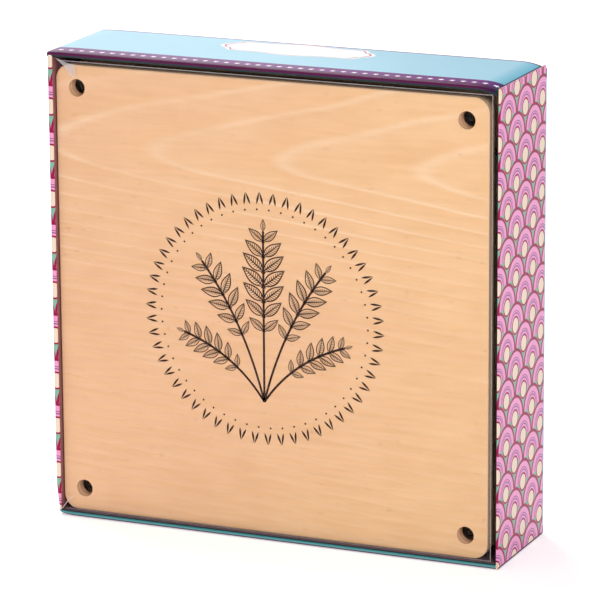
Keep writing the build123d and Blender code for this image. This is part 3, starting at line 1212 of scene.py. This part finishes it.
class FLOWERPRESS_OT_sheets(bpy.types.Operator):
    """Builds the corrugated cards and finishes the blotting sheets"""

    bl_idname = "flower_press.sheets"
    bl_label = "Cards and blotting sheets"

    def execute(self, context):
        look = context.scene.press_sheet
        tree = flute_tree(plain_card("kraft_card", look.kraft, 0.35, 0.8, 0.4))
        blotting = plain_card("blotting_paper", look.blotting, 0.12, 0.92, 0.6)
        for node in SHEETS:
            if node.startswith("blotter"):
                paint(node, blotting)
            else:
                self.card(node, tree, look)
        return {"FINISHED"}

    def card(self, node, tree, look):
        """One corrugated card in the place of its solid."""
        low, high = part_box(node)
        half = (high.x - low.x) / 2
        middle = (low.z + high.z) / 2
        points = [vertex.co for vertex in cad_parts[node].data.vertices]
        edge = max(point.z for point in points if point.x < low.x + 0.1 * MM)
        card = grow(
            f"{node}_fluted",
            tree,
            Place=((low.x + high.x) / 2, low.y, middle),
            Half=half,
            Step=edge - middle,
            Thickness=high.y - low.y,
            Skin=0.22 * MM,
            Pitch=look.flute_pitch,
            Columns=int(2 * half / look.flute_pitch) * 8 + 1,
        )
        smooth(card.data, 40.0)
        dress(card, node, "corrugated_card", node)


# Bolts, washers, wing nuts and the card that holds them
def zinc_plate(look):
    """Bright zinc plating with a fine uneven polish."""
    material, tree = open_material("zinc_plating")
    cloud = grey_ramp(noise(tree, 0.5, 4.0), 0.3, 0.7)
    scratch = noise(tree, 1.6, 3.0, (1.0, 6.0, 1.0))
    return surfaced(
        material,
        Base_Color=blend(cloud, [0.7 * c for c in look.zinc], look.zinc),
        Metallic=1.0,
        Roughness=scratch * 0.3 + 0.16,
        Normal=bump(scratch, 0.15, 0.03 * MM),
    )


def bolt_tree(zinc):
    """A bolt with a threaded shank and a slotted round head, along Z and turned at last to point forward."""
    tree, given = open_group(
        "threaded_bolt", Vector="Place", Int="Rows", Float="Length Radius Pitch Depth Head Dome"
    )
    sizes = {"Vertices": 24, "Side_Segments": given.Rows, "Radius": given.Radius, "Depth": given.Length}
    shank = shape(tree, "MeshCylinder", fill_type="TRIANGLE_FAN", **sizes)
    x, y, z = split(shape(tree, "InputPosition"))
    along = z + given.Length * 0.5
    turn = calc("ARCTAN2", y, x) / (2 * math.pi)
    phase = calc("FRACT", along / given.Pitch - turn)
    cut = 1.0 - calc("ABSOLUTE", phase * 2.0 - 1.0) * given.Depth
    taper = (given.Length - along) / given.Radius + 0.72
    scale = calc("MINIMUM", cut, taper)
    thread = moved(shank, joined(x * scale, y * scale, along))
    sizes = {"Vertices": 48, "Side_Segments": 10, "Radius": given.Head, "Depth": given.Dome}
    bend = given.Dome * 0.5
    short = 1.0 - calc("MINIMUM", (z + bend) / bend, 1.0)
    drop = 1.0 - calc("SQRT", 1.0 - calc("POWER", short, 2.0))
    scale = 1.0 - drop * (bend / given.Head)
    head = moved(shape(tree, "MeshCylinder", **sizes), joined(x * scale, y * scale, z - bend))
    slot = shape(tree, "MeshCube", Size=(14 * MM, 1.2 * MM, 2.8 * MM))
    slot = stood(slot, joined(0.0, 0.0, given.Dome * -1.0))
    slotted = shape(tree, "MeshBoolean", head, slot, operation="DIFFERENCE")
    return close_group(stood(together(thread, slotted), given.Place, FORWARD_TURN), zinc)


class FLOWERPRESS_OT_hardware(bpy.types.Operator):
    """Builds threaded bolts and cast wing nuts, and finishes the washers"""

    bl_idname = "flower_press.hardware"
    bl_label = "Bolts, washers and wing nuts"

    def execute(self, context):
        look = context.scene.press_hardware
        zinc = zinc_plate(look)
        # The dark tip colour is painted shade for the bolts' ends inside the holes.
        bare = plain_card("bolt_tip_painted_shade", look.bare, 0.4, 0.55, 0.2)
        tree = bolt_tree(zinc)
        for number in range(1, 5):
            low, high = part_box(f"washer_{number}")
            centre = (low + high) / 2
            paint(f"washer_{number}", zinc)
            self.bolt(f"bolt_{number}", tree, centre, look, bare)
            self.wing_nut(f"wing_nut_{number}", centre, zinc)
        return {"FINISHED"}

    def bolt(self, node, tree, centre, look, bare):
        """One bolt, with its tip painted dark: painted shade where it sits deep in the board's hole."""
        low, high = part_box(node)
        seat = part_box("hardware_card")[1].y
        shank = seat - low.y
        piece = grow(
            f"{node}_threaded",
            tree,
            Place=(centre.x, seat, centre.z),
            Length=shank,
            Radius=2.5 * MM,
            Pitch=look.thread_pitch,
            Depth=look.thread_depth,
            Rows=int(shank / look.thread_pitch * 6),
            Head=(high.x - low.x) / 2,
            Dome=high.y - seat,
        )
        smooth(piece.data, 40.0)
        # The last 1.6 mm at the tip take the dark colour: painted shade inside the hole.
        piece.data.materials.append(bare)
        for face in piece.data.polygons:
            if face.center.y < low.y + 1.6 * MM:
                face.material_index = 1
        dress(piece, "hardware_set", "zinc_steel", node)

    def wing_nut(self, node, centre, zinc):
        """One cast wing nut: a tapered hub with a bore, and two rounded wings."""
        low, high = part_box(node)
        seat = high.y
        bore = 2.56
        hub = [(4.3, 0.0), (4.5, 0.3), (4.4, 1.6), (3.9, 4.6), (3.6, 5.3), (3.2, 5.5)]
        hub += [(bore, 5.5), (bore, 0.0)]
        rings = []
        for turn in np.linspace(0, 2 * math.pi, 40, endpoint=False):
            c, s = math.cos(turn) * MM, math.sin(turn) * MM
            rings.append([(centre.x + r * c, seat - h * MM, centre.z + r * s) for r, h in hub])
        parts = [loft(f"{node}_cast", rings, [0.0] * 41, [zinc], closed=True)]
        reach = (high.x - low.x) / 2 / MM
        outline = [(2.9, 1.3), (5.2, 1.9), (7.4, 3.0), (reach - 0.35, 4.6), (reach, 6.4), (reach - 0.4, 8.2)]
        outline += [(reach - 1.9, 9.0), (reach - 3.8, 8.7), (4.2, 7.2), (3.5, 5.8), (2.9, 4.4)]
        outline = round_outline(outline)
        middle = np.mean(outline, axis=0)
        levels = ((-1.45, 0.80), (-1.1, 0.95), (-0.4, 1.0), (0.4, 1.0), (1.1, 0.95), (1.45, 0.80))
        for side in (1, -1):
            layers = []
            for depth, scale in levels:
                ring = []
                for x, h in outline:
                    thin = 1.0 - 0.25 * (x - 3.0) / reach
                    px, ph = middle + (np.array((x, h)) - middle) * scale
                    ring.append((centre.x + side * px * MM, seat - ph * MM, centre.z + depth * thin * MM))
                layers.append(ring)
            parts.append(loft(f"{node}_wing", layers, [0.0] * len(levels), [zinc]))
        dress(merge_pieces(parts), node, "zinc_steel", node)


class FLOWERPRESS_OT_hardware_card(bpy.types.Operator):
    """Finishes the hardware card and its risers"""

    bl_idname = "flower_press.hardware_card"
    bl_label = "Hardware card"

    def execute(self, context):
        grey = plain_card("greyboard", context.scene.press_sheet.grey, 0.5, 0.85, 0.4)
        for node in ("hardware_card", "riser_upper", "riser_lower"):
            paint(node, grey)
        return {"FINISHED"}


# Floor, light and camera
class FLOWERPRESS_OT_stage(bpy.types.Operator):
    """Sets the floor, the light and the camera"""

    bl_idname = "flower_press.stage"
    bl_label = "Stage"

    def execute(self, context):
        look = context.scene.press_stage
        self.floor(look)
        self.light(context, look)
        self.camera(context)
        context.scene.view_settings.view_transform = "Standard"
        return {"FINISHED"}

    def floor(self, look):
        """A wide pale floor."""
        pale = opaque(look.floor)
        material = surfaced(
            open_material("pale_floor")[0],
            Base_Color=pale,
            Roughness=0.9,
            Specular_IOR_Level=0.1,
            Emission_Color=pale,
            Emission_Strength=0.42,
        )
        mesh = bpy.data.meshes.new("floor")
        reach = 8.0
        corners = [(-reach, -reach), (reach, -reach), (reach, reach), (-reach, reach)]
        mesh.from_pydata([(x, y, -0.2 * MM) for x, y in corners], [], [(0, 1, 2, 3)])
        mesh.materials.append(material)
        link("floor", mesh)

    def light(self, context, look):
        """A white surround, a key from the upper right front, a fill from the left, a rear and a top lamp."""
        world = bpy.data.worlds.new("surround")
        world.use_nodes = True
        surround = world.node_tree.nodes["Background"].inputs
        surround["Color"].default_value = opaque(WHITE)
        surround["Strength"].default_value = look.sky
        context.scene.world = world
        aim = Vector((0.0, 0.0, 0.09))
        lamps = {
            "key": ((0.62, -0.68, 0.62), 0.4, look.key),
            "fill": ((-0.9, -0.9, 0.7), 1.0, look.fill),
            "rear": ((-1.12, 1.5, 0.6), 1.0, look.rear),
            "above": ((-0.45, 0.35, 1.3), 0.5, look.above),
        }
        for name, (place, size, energy) in lamps.items():
            lamp = bpy.data.lights.new(name, "AREA")
            lamp.size = size
            lamp.energy = energy
            holder = bpy.data.objects.new(name, lamp)
            holder.location = place
            holder.rotation_euler = (aim - Vector(place)).to_track_quat("-Z", "Y").to_euler()
            context.scene.collection.objects.link(holder)

    def camera(self, context):
        """A long lens from the right and a little above."""
        place = (0.6288, -1.4384, 0.4982)
        turn, rise, roll = (math.radians(v) for v in (23.56, 14.54, -0.37))
        level = math.cos(rise)
        forward = Vector((-math.sin(turn) * level, math.cos(turn) * level, -math.sin(rise)))
        right = forward.cross(Vector((0.0, 0.0, 1.0))).normalized()
        up = right.cross(forward)
        tilted_right = right * math.cos(roll) + up * math.sin(roll)
        tilted_up = up * math.cos(roll) - right * math.sin(roll)
        eye = bpy.data.cameras.new("camera")
        eye.sensor_width = 36.0
        eye.lens = 249.9
        eye.clip_start = 0.05
        eye.clip_end = 50.0
        holder = bpy.data.objects.new("camera", eye)
        axes = Matrix((tilted_right, tilted_up, -forward)).transposed()
        holder.matrix_world = Matrix.Translation(place) @ axes.to_4x4()
        context.scene.collection.objects.link(holder)
        context.scene.camera = holder


class FLOWERPRESS_PT_panel(bpy.types.Panel):
    """Lists the pieces of the boxed flower press"""

    bl_idname = "FLOWERPRESS_PT_panel"
    bl_label = "Flower Press"
    bl_space_type = "VIEW_3D"
    bl_region_type = "UI"
    bl_category = "Flower Press"

    def draw(self, context):
        for operator in OPERATORS:
            self.layout.operator(operator.bl_idname)
        for name in LOOKS:
            settings = getattr(context.scene, name)
            box = self.layout.box()
            for key in settings.__annotations__:
                box.prop(settings, key)


OPERATORS = (
    FLOWERPRESS_OT_carton,
    FLOWERPRESS_OT_film,
    FLOWERPRESS_OT_boards,
    FLOWERPRESS_OT_board_print,
    FLOWERPRESS_OT_sheets,
    FLOWERPRESS_OT_hardware,
    FLOWERPRESS_OT_hardware_card,
    FLOWERPRESS_OT_stage,
)
LOOKS = {
    "press_carton": CartonLook,
    "press_film": FilmLook,
    "press_board": BoardLook,
    "press_sheet": SheetLook,
    "press_hardware": HardwareLook,
    "press_stage": StageLook,
}


def register():
    """Registers the settings, operators and panel."""
    for name, settings in LOOKS.items():
        bpy.utils.register_class(settings)
        setattr(bpy.types.Scene, name, PointerProperty(type=settings))
    for operator in OPERATORS:
        bpy.utils.register_class(operator)
    bpy.utils.register_class(FLOWERPRESS_PT_panel)


def unregister():
    """Removes the panel, operators and settings."""
    bpy.utils.unregister_class(FLOWERPRESS_PT_panel)
    for operator in reversed(OPERATORS):
        bpy.utils.unregister_class(operator)
    for name, settings in LOOKS.items():
        delattr(bpy.types.Scene, name)
        bpy.utils.unregister_class(settings)


def main():
    """Builds every piece in order."""
    register()
    bpy.ops.flower_press.carton()
    bpy.ops.flower_press.film()
    bpy.ops.flower_press.boards()
    bpy.ops.flower_press.board_print()
    bpy.ops.flower_press.sheets()
    bpy.ops.flower_press.hardware()
    bpy.ops.flower_press.hardware_card()
    bpy.ops.flower_press.stage()


if __name__ == "__main__":
    main()
